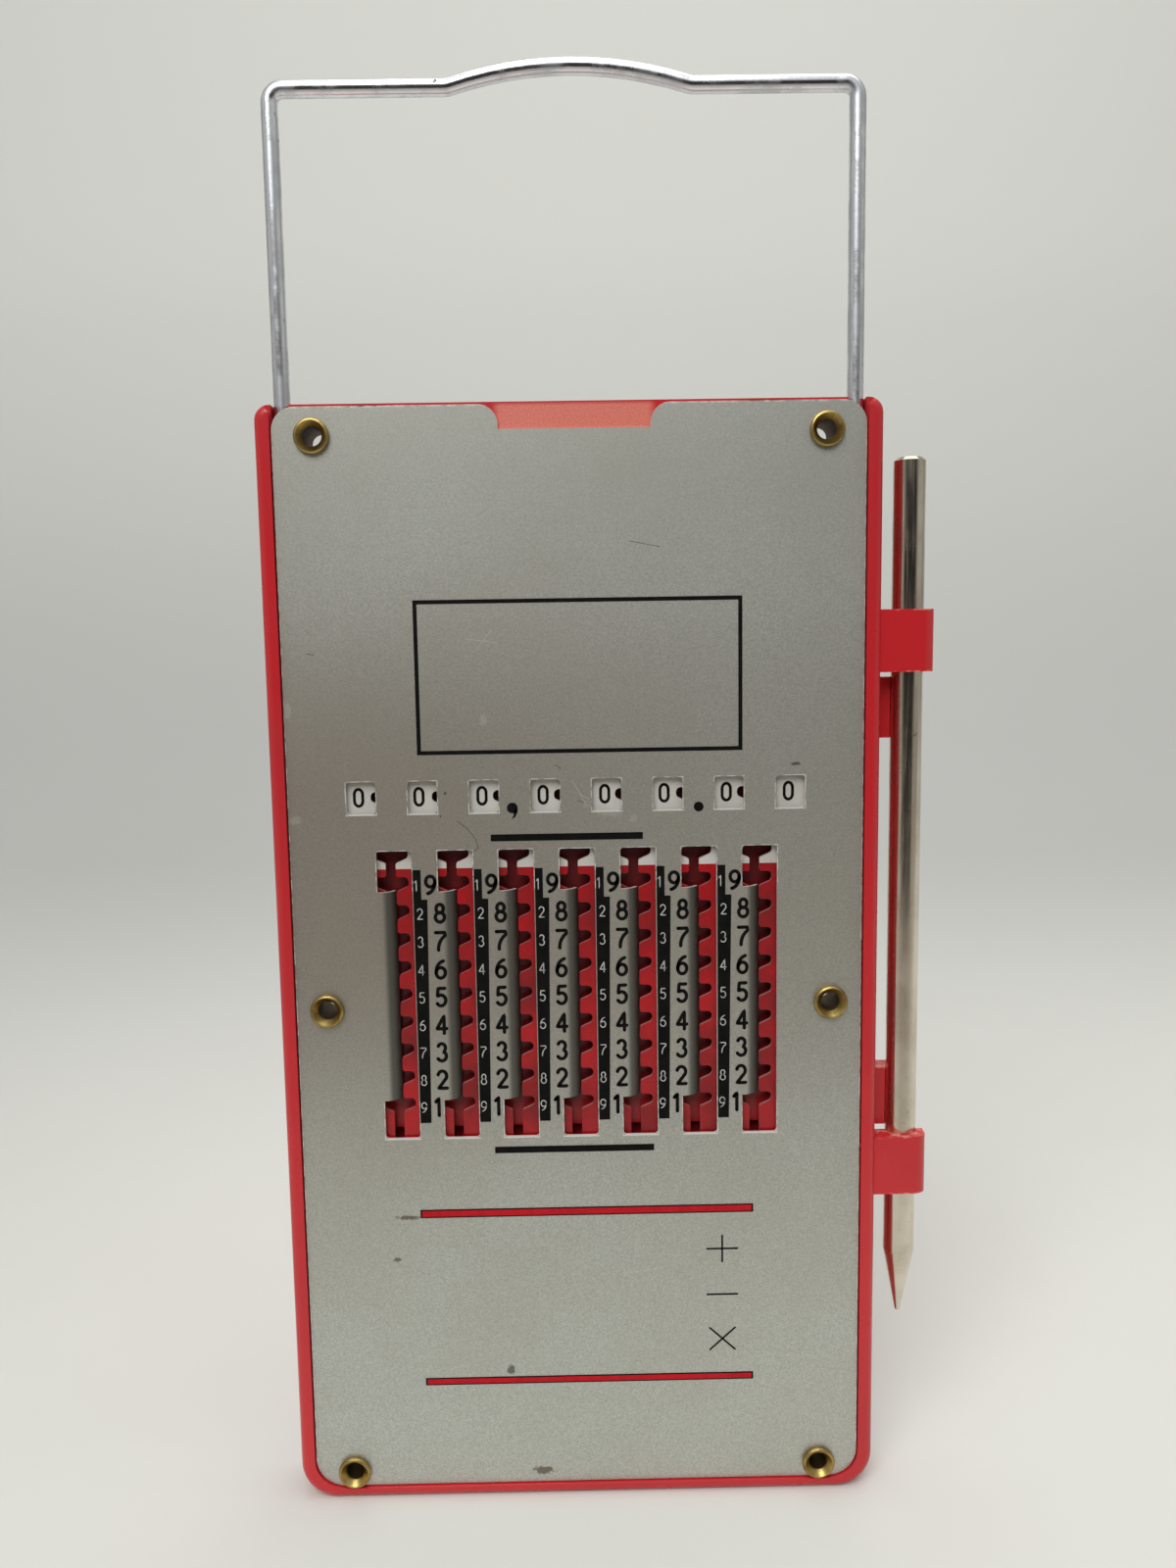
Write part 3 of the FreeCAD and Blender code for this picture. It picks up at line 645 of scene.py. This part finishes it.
# %% Drawn nickel
nickel = Finish("drawn_nickel", Metallic=1.0)
stretched = nickel.put("ShaderNodeMapping", {"Vector": nickel.place, "Scale": (1.0, 1.0, 0.02)}).outputs[0]
lines = nickel.noise(stretched, 5000.0, 3.0)
grime = nickel.group(GRIME, Patch_Scale=180.0, Speck_Scale=1400.0, Speck_Share=0.5)
rough = nickel.math("ADD", nickel.ramp(lines, 0.3, 0.7, 0.12, 0.24), nickel.both(grime["Patches"], 0.08))
pits = nickel.both(grime["Specks"], nickel.along(X, 38.5, 39.5, 0.25, 1.0))
tone = nickel.mix(grime["Patches"], colour(222, 214, 198), colour(200, 190, 172))
tone = nickel.mix(nickel.both(pits, 0.85), tone, colour(60, 54, 46))
ridges = nickel.put("ShaderNodeBump", {"Strength": 0.35, "Distance": 0.00001, "Height": lines})
nickel.feed(Base_Color=tone, Roughness=rough, Normal=ridges.outputs[0])
dress("stylus", nickel)
print("pointer dressed with", len(nickel.tree.nodes), "nodes")

# %% [markdown]
# ## Ink
#
# The printing is black, white or red ink, a few hundredths of a millimetre thick. It could be painted in
# the sheet's material, but as thin meshes it stays sharp at any zoom and moves with the piece that it is
# printed on. The ink is matt, so its specular level is low, and a faint mottling keeps it from looking
# like a hole.


# %% Ink finishes
def ink(name, dark, light, roughness):
    """A mottled ink between two tones."""
    finish = Finish(name, Specular_IOR_Level=0.08)
    grime = finish.group(GRIME, Patch_Scale=900.0, Speck_Scale=5000.0, Speck_Share=0.3)
    grain = finish.group(GRAIN, Scale=6000.0, Height=0.00001, Strength=0.3)
    tone = finish.mix(grime["Patches"], dark, light)
    gloss = finish.ramp(grime["Patches"], 0, 1, roughness, roughness + 0.15)
    finish.feed(Base_Color=tone, Roughness=gloss, Normal=grain["Normal"])
    return finish.material


BLACK_INK = ink("black_ink", colour(13, 13, 12), colour(21, 20, 19), 0.55)
WHITE_INK = ink("white_ink", colour(200, 200, 194), colour(172, 172, 166), 0.5)
RED_INK = ink("red_ink", colour(196, 30, 40), colour(178, 28, 37), 0.5)
print("inks:", BLACK_INK.name, WHITE_INK.name, RED_INK.name)

# %% [markdown]
# ## Digits from strokes
#
# The digits look as if drawn with a round pen and a stencil. So each is a few strokes, given as lines
# and arcs in a box one unit high, and a pen of constant width with round ends follows them. Drawing
# them here avoids a font, and the pen's width can be set for each size. Arcs are given by their centre,
# radii and angles in degrees, counted against the clock from the right.


# %% Strokes of the ten digits
def arc(cx, cy, rx, ry, start, end, steps=14):
    """Points on part of an ellipse."""
    angles = [radians(start + (end - start) * k / steps) for k in range(steps + 1)]
    return [(cx + rx * cos(a), cy + ry * sin(a)) for a in angles]


BOX_WIDE = 0.62
DIGITS = {
    0: [arc(0.31, 0.69, 0.31, 0.31, 0, 180) + arc(0.31, 0.31, 0.31, 0.31, 180, 360) + [(0.62, 0.69)]],
    1: [[(0.14, 0.8), (0.34, 1.0), (0.34, 0.0)]],
    2: [arc(0.31, 0.71, 0.29, 0.29, 165, -30) + [(0.04, 0.0), (0.62, 0.0)]],
    3: [arc(0.3, 0.75, 0.25, 0.25, 155, -80) + arc(0.3, 0.27, 0.3, 0.27, 75, -150)],
    4: [[(0.48, 0.0), (0.48, 1.0), (0.0, 0.27), (0.64, 0.27)]],
    5: [[(0.56, 1.0), (0.12, 1.0), (0.07, 0.55)] + arc(0.3, 0.31, 0.31, 0.31, 125, -145)],
    6: [arc(0.31, 0.3, 0.3, 0.3, 180, -180, 24) + arc(0.6, 0.32, 0.59, 0.66, 178, 100)],
    7: [[(0.02, 1.0), (0.6, 1.0)] + arc(1.05, 0.05, 0.86, 0.86, 118, 183)],
    8: [arc(0.31, 0.76, 0.24, 0.24, -90, 270, 24), arc(0.31, 0.27, 0.3, 0.27, 90, 450, 24)],
    9: [arc(0.31, 0.7, 0.3, 0.3, 0, 360, 24) + arc(0.02, 0.68, 0.59, 0.66, -2, -80)],
}
print("digits:", len(DIGITS), "strokes:", sum(len(s) for s in DIGITS.values()))

# %% [markdown]
# ## Laying ink on the surface
#
# The digits beside the slots lie on sheet metal that starts to bend inwards there, so ink that stayed in
# one plane would float. A shrinkwrap modifier could press it down. A small function that gives the
# sheet's depth at any point, flat or on the lip's arc, does the same with no modifier left on the piece.
# The ink is lifted by a few hundredths of a millimetre so that the two surfaces don't share a place.

# %% Depth of the sheet
LIP_RADIUS = 2.154
LIP_LOW, LIP_HIGH = 50.35, 75.37


def sheet_depth(x, z):
    """Depth of the sheet's front at a point, in millimetres."""
    if LIP_LOW <= z <= LIP_HIGH:
        for n in range(7):
            over = x - slot_left(n)
            if 0 < over < LIP_RADIUS:
                return PLATE_Y + LIP_RADIUS - sqrt(LIP_RADIUS ** 2 - over ** 2)
    return PLATE_Y


def slide_depth(x, z):
    """Depth of the slides' front, which is flat."""
    return SLIDE_Y


on_lip = sheet_depth(slot_left(0) + 1.0, LIP_LOW + 1.0)
print("1 mm in, a lip lies", round(on_lip - PLATE_Y, 3), "mm deeper")


# %% More points along a line
def finer(points, step):
    """The same line with more points, so that it can lie on a curved surface and turn smoothly."""
    result = [points[0]]
    for a, b in zip(points, points[1:]):
        count = max(1, round(sqrt((b[0] - a[0]) ** 2 + (b[1] - a[1]) ** 2) / step))
        result += [(a[0] + (b[0] - a[0]) * k / count, a[1] + (b[1] - a[1]) * k / count)
                   for k in range(1, count + 1)]
    return result


print("a 1 mm line in steps of 0.3 mm has", len(finer([(0, 0), (1, 0)], 0.3)), "points")


# %% A print
class Print:
    """Flat shapes in millimetres that become one thin piece of ink."""

    def __init__(self):
        self.corners = []
        self.faces = []

    def patch(self, points):
        """One flat face round the given points."""
        start = len(self.corners)
        self.corners += points
        self.faces.append(tuple(range(start, start + len(points))))

    def bar(self, left, right, low, high):
        """A rectangle."""
        self.patch([(left, low), (right, low), (right, high), (left, high)])

    def line(self, points, wide):
        """A pen line of constant width with round ends."""
        half = wide / 2
        start = len(self.corners)
        for k, point in enumerate(points):
            before, after = points[max(k - 1, 0)], points[min(k + 1, len(points) - 1)]
            run = Vector((after[0] - before[0], after[1] - before[1])).normalized()
            self.corners.append((point[0] - run.y * half, point[1] + run.x * half))
            self.corners.append((point[0] + run.y * half, point[1] - run.x * half))
        for k in range(len(points) - 1):
            a = start + 2 * k
            self.faces.append((a, a + 1, a + 3, a + 2))
        for x, z in (points[0], points[-1]):
            self.patch([(x + half * cos(a * pi / 6), z + half * sin(a * pi / 6)) for a in range(12)])

    def digit(self, digit, x, z, wide, high, pen):
        """A digit centred on x, z."""
        for stroke in DIGITS[digit]:
            points = [(x + (px / BOX_WIDE - 0.5) * (wide - pen), z + (pz - 0.5) * (high - pen))
                      for px, pz in stroke]
            self.line(finer(points, 0.12), pen)

    def lay(self, name, material, body, lift=0.02, depth=sheet_depth):
        """Makes the piece: its corners lie on a surface, lifted a little off it."""
        mesh = bpy.data.meshes.new(name)
        laid = [(x * MM, (depth(x, z) - lift) * MM, z * MM) for x, z in self.corners]
        mesh.from_pydata(laid, [], self.faces)
        mesh.materials.append(material)
        piece = bpy.data.objects.new(name, mesh)
        bpy.context.scene.collection.objects.link(piece)
        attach(piece, body)
        print(name, "has", len(self.faces), "faces and rides on", body)


# %% [markdown]
# ## Printed digits
#
# Each slide carries the digits 0 to 9, of which its window shows one, so they ride on the slide. Beside
# each slot a column of large digits says how far to draw, and a narrow dark strip with small white
# digits runs the other way. Every slide was printed a little off centre, and the columns lean a little,
# which a row of perfect copies would lose. So each slide has its own shift, and the columns a drift.

# %% Zero to nine on each slide
PRINT_SHIFT = (0.12, 0.02, 0.24, 0.24, 0.3, 0.12, 0.26, 0.4)
SLIDE_DIGIT = {"wide": 1.3, "high": 2.3, "pen": 0.34}
for n, shift in enumerate(PRINT_SHIFT):
    ink_on_slide = Print()
    for digit in range(10):
        ink_on_slide.digit(digit, slide_middle(n) + shift, WINDOW_Z + digit * NOTCH, **SLIDE_DIGIT)
    ink_on_slide.lay(f"slide_digits_{n + 1}", BLACK_INK, f"slide_{n + 1}", depth=slide_depth)

# %% Scales beside the slots
SCALE_DIGIT = {"wide": 1.5, "high": 2.5, "pen": 0.41}
STRIP_DIGIT = {"wide": 0.74, "high": 1.34, "pen": 0.12}
STRIP_LOW, STEP_Z = 47.6, 74.5
STRIP_LEFT, STRIP_NARROW, STRIP_WIDE_LOW, STRIP_WIDE_HIGH = 0.1, 1.02, 1.38, 1.71


def column_shift(row, lowest, highest, first, drift):
    """Sideways place of a digit in a leaning column; the end rows stand beside the slots' hooks."""
    return {0: lowest, 8: highest}.get(row, first + drift * (row - 1) / 6)


scale, strips, small = Print(), Print(), Print()
for n in range(6):
    right = slot_left(n) + SLOT_WIDE
    left = right + STRIP_LEFT
    strips.bar(left, right + STRIP_NARROW, STEP_Z, CHANGE_Z)
    strips.patch([(left, STRIP_LOW), (right + STRIP_WIDE_LOW, STRIP_LOW), (right + STRIP_WIDE_HIGH, STEP_Z),
                  (left, STEP_Z)])
    for row in range(9):
        z = FIRST_NOTCH + row * NOTCH - 0.22
        scale_x = slot_left(n + 1) + column_shift(row, -0.71, -0.87, -0.16, 0.28)
        small_x = right + column_shift(row, 0.59, 0.45, 0.66, 0.13)
        scale.digit(row + 1, scale_x, z, **SCALE_DIGIT)
        small.digit(9 - row, small_x, z - 0.05, **STRIP_DIGIT)
scale.lay("scale_digits", BLACK_INK, "housing")
strips.lay("stair_strips", BLACK_INK, "housing", lift=0.015)
small.lay("strip_digits", WHITE_INK, "housing", lift=0.03)

# %% [markdown]
# ## Lines, bars and signs
#
# A thin frame, two black bars over and under the slots, two red bars with a black outline, and the
# signs for adding, taking away and multiplying complete the printing, with a comma and a dot between
# the windows. They are rectangles and pen lines again. The red of an outlined bar lies a hair above
# its black, as the second ink does in print.

# %% Frame line
FRAME_LEFT, FRAME_RIGHT, FRAME_LOW, FRAME_HIGH, FRAME_LINE = -18.05, 19.15, 91.3, 108.8, 0.46
frame_print = Print()
frame_print.bar(FRAME_LEFT, FRAME_RIGHT, FRAME_LOW, FRAME_LOW + FRAME_LINE)
frame_print.bar(FRAME_LEFT, FRAME_RIGHT, FRAME_HIGH - FRAME_LINE, FRAME_HIGH)
frame_print.bar(FRAME_LEFT, FRAME_LEFT + FRAME_LINE, FRAME_LOW + FRAME_LINE, FRAME_HIGH - FRAME_LINE)
frame_print.bar(FRAME_RIGHT - FRAME_LINE, FRAME_RIGHT, FRAME_LOW + FRAME_LINE, FRAME_HIGH - FRAME_LINE)
frame_print.lay("title_frame", BLACK_INK, "housing")

# %% Black and red bars
slot_bars = Print()
slot_bars.bar(-9.9, 7.65, 81.2, 82.0)
slot_bars.bar(-10.3, 8.6, 43.7, 44.5)
slot_bars.lay("slot_bars", BLACK_INK, "housing")

OUTLINE = 0.16
outlines, reds = Print(), Print()
for middle, high in ((36.3, 1.05), (14.9, 0.95)):
    low, top = middle - high / 2, middle + high / 2
    outlines.bar(-19.4, 20.4, low, top)
    reds.bar(-19.2, 20.2, low + OUTLINE, top - OUTLINE)
outlines.lay("bar_outlines", BLACK_INK, "housing")
reds.lay("red_bars", RED_INK, "housing", lift=0.03)

# %% Signs
SIGN_PEN = 0.22
signs = Print()
signs.line([(14.85, 31.2), (18.5, 31.2)], SIGN_PEN)
signs.line([(16.67, 29.55), (16.67, 32.85)], SIGN_PEN)
signs.line([(14.85, 25.4), (18.5, 25.4)], SIGN_PEN)
signs.line([(15.15, 18.3), (18.2, 21.1)], SIGN_PEN)
signs.line([(15.15, 21.1), (18.2, 18.3)], SIGN_PEN)
signs.lay("operation_signs", BLACK_INK, "housing")

# %% Comma and dot
DOT_RADIUS, COMMA_RADIUS = 0.57, 0.62
marks = Print()
marks.patch(arc(14.1, 84.85, DOT_RADIUS, DOT_RADIUS, 0, 345, 23))
marks.patch(arc(-7.33, 85.05, COMMA_RADIUS, COMMA_RADIUS, 0, 345, 23))
marks.patch([(-6.72, 85.1), (-6.72, 84.6), (-7.05, 83.95), (-7.45, 83.75), (-7.2, 84.15), (-7.2, 84.6)])
marks.lay("comma_and_dot", BLACK_INK, "housing")

# %% [markdown]
# ## Floor and backdrop
#
# A studio sheet is a floor that curves up into a wall with no edge between them. It could be a plane and
# a bevelled corner; one strip of quads along an arc is as simple and has no corner at all. It is wide,
# so that its ends stay out of the views from the side. The paper is a little darker at the left, behind
# and in front of the adder, where a window's light falls off, and the colour carries that.

# %% The studio sheet
SHEET_SIDE, SHEET_FRONT, BEND_START, BEND_RADIUS, WALL_TOP = 6.0, -1.5, 0.45, 0.35, 2.2
profile = [(SHEET_FRONT, 0.0), (BEND_START, 0.0)]
for angle in range(10, 91, 10):
    back = BEND_RADIUS * sin(radians(angle))
    rise = BEND_RADIUS - BEND_RADIUS * cos(radians(angle))
    profile.append((BEND_START + back, rise))
profile += [(BEND_START + BEND_RADIUS, WALL_TOP)]
corners = [(x, y, z) for y, z in profile for x in (-SHEET_SIDE, SHEET_SIDE)]
strips_of_sheet = [(2 * k, 2 * k + 1, 2 * k + 3, 2 * k + 2) for k in range(len(profile) - 1)]
mesh = bpy.data.meshes.new("studio_sheet")
mesh.from_pydata(corners, [], strips_of_sheet)
mesh.polygons.foreach_set("use_smooth", [True] * len(mesh.polygons))
studio_sheet = bpy.data.objects.new("studio_sheet", mesh)
bpy.context.scene.collection.objects.link(studio_sheet)
print("studio sheet:", len(mesh.polygons), "quads")

# %% Paper for the sheet
paper = Finish("studio_paper", Roughness=0.9)
fibres = paper.group(GRAIN, Scale=1200.0, Height=0.0002, Strength=0.1)
mottle = paper.group(GRIME, Patch_Scale=4.0, Speck_Scale=300.0, Speck_Share=0.0)
tone = paper.mix(mottle["Patches"], colour(220, 220, 215), colour(214, 214, 208))
# painted shade: darker behind, at the left and in front; painted light: lighter up the wall
tone = paper.mix(paper.along(Y, 30.0, 400.0), tone, colour(196, 196, 193))
tone = paper.mix(paper.along(X, 0.0, -250.0, 0.0, 0.5), tone, colour(182, 182, 179))
tone = paper.mix(paper.along(Z, 20.0, 450.0), tone, colour(238, 239, 234))
tone = paper.mix(paper.along(Y, -10.0, -200.0), tone, colour(160, 153, 147))
paper.feed(Base_Color=tone, Normal=fibres["Normal"])
mesh.materials.append(paper.material)
print("paper has", len(paper.tree.nodes), "nodes")

# %% [markdown]
# ## A dark card in front
#
# Polished metal shows what stands opposite it, and in a room that is mostly the dark side behind the
# camera. Without it the rod looks like white paint. Studio photographers hold up a black card for this.
# The same is done here: a low card in front that the metal mirrors, hidden from the camera and casting
# no shadow.

# %% Hold up the card
CARD_LEFT, CARD_RIGHT, CARD_HIGH = -0.2, 0.26, 0.13
CARD_FOOT_Y, CARD_HEAD_Y = -0.3, -0.34
card = bpy.data.meshes.new("dark_card")
foot = [(CARD_LEFT, CARD_FOOT_Y, 0.0), (CARD_RIGHT, CARD_FOOT_Y, 0.0)]
head = [(CARD_RIGHT, CARD_HEAD_Y, CARD_HIGH), (CARD_LEFT, CARD_HEAD_Y, CARD_HIGH)]
card.from_pydata(foot + head, [], [(0, 1, 2, 3)])
cloth = Finish("black_cloth", Roughness=0.9)
nap = cloth.group(GRIME, Patch_Scale=30.0, Speck_Scale=800.0, Speck_Share=0.1)
cloth.feed(Base_Color=cloth.mix(nap["Patches"], colour(34, 30, 27), colour(44, 38, 34)))
card.materials.append(cloth.material)
dark_card = bpy.data.objects.new("dark_card", card)
dark_card.visible_camera = False
dark_card.visible_shadow = False
bpy.context.scene.collection.objects.link(dark_card)
print("dark card:", round(CARD_RIGHT - CARD_LEFT, 2), "m wide")

# %% [markdown]
# ## Lamps
#
# The light is soft and from the front and above, at a level where a colour renders about as it is
# written, so the same part looks right in another scene. A sun would give hard shadows. Two large area
# lamps, as of a window and a bright ceiling, give the soft ones of the picture.


# %% Hang the lamps
def lamp(name, place, size, power, target=(0, 0, 0.08)):
    """A square area lamp that looks at a point."""
    data = bpy.data.lights.new(name, "AREA")
    data.size = size
    data.energy = power
    thing = bpy.data.objects.new(name, data)
    thing.location = place
    thing.rotation_euler = (Vector(target) - Vector(place)).to_track_quat("-Z", "Y").to_euler()
    bpy.context.scene.collection.objects.link(thing)
    print(name, size, "m wide,", power, "W")


lamp("key_window", (-0.25, -0.8, 0.95), 0.7, 8.5)
lamp("top_sheet", (0.2, 0.1, 1.2), 0.9, 4.0)

# %% [markdown]
# ## The room around
#
# The world lights what the lamps miss, and the metal mirrors it. One grey would do for the light but
# gives dead reflections. So the room is brighter towards its ceiling and has a dark part low in front,
# as a room has behind whoever takes the picture. Where the camera looks past the studio sheet it sees
# a plain pale colour instead, which doesn't change the light on the adder.

# %% World
STRENGTH = 0.65
world = bpy.data.worlds.new("room")
bpy.context.scene.world = world
world.use_nodes = True
net = Net(world.node_tree)
direction = net.put("ShaderNodeSeparateXYZ", {0: net.put("ShaderNodeTexCoord").outputs["Generated"]}).outputs
in_front = net.ramp(net.both(direction[Y], -1.0), 0.55, 0.82)
low_down = net.ramp(direction[Z], 0.4, 0.16)
room = net.mix(net.ramp(direction[Z], 0.0, 0.8), colour(205, 203, 198), colour(240, 240, 238))
room = net.mix(net.both(in_front, low_down), room, colour(40, 34, 30))
seen = net.put("ShaderNodeLightPath").outputs["Is Camera Ray"]
backdrop = world.node_tree.nodes["Background"]
net.fill(backdrop.inputs["Color"], net.mix(seen, room, colour(252, 252, 247)))
backdrop.inputs["Strength"].default_value = STRENGTH
bpy.context.scene.view_settings.view_transform = "Standard"
print("world strength", STRENGTH)

# %% [markdown] ## Finish The looks mustn't change the adder's size.
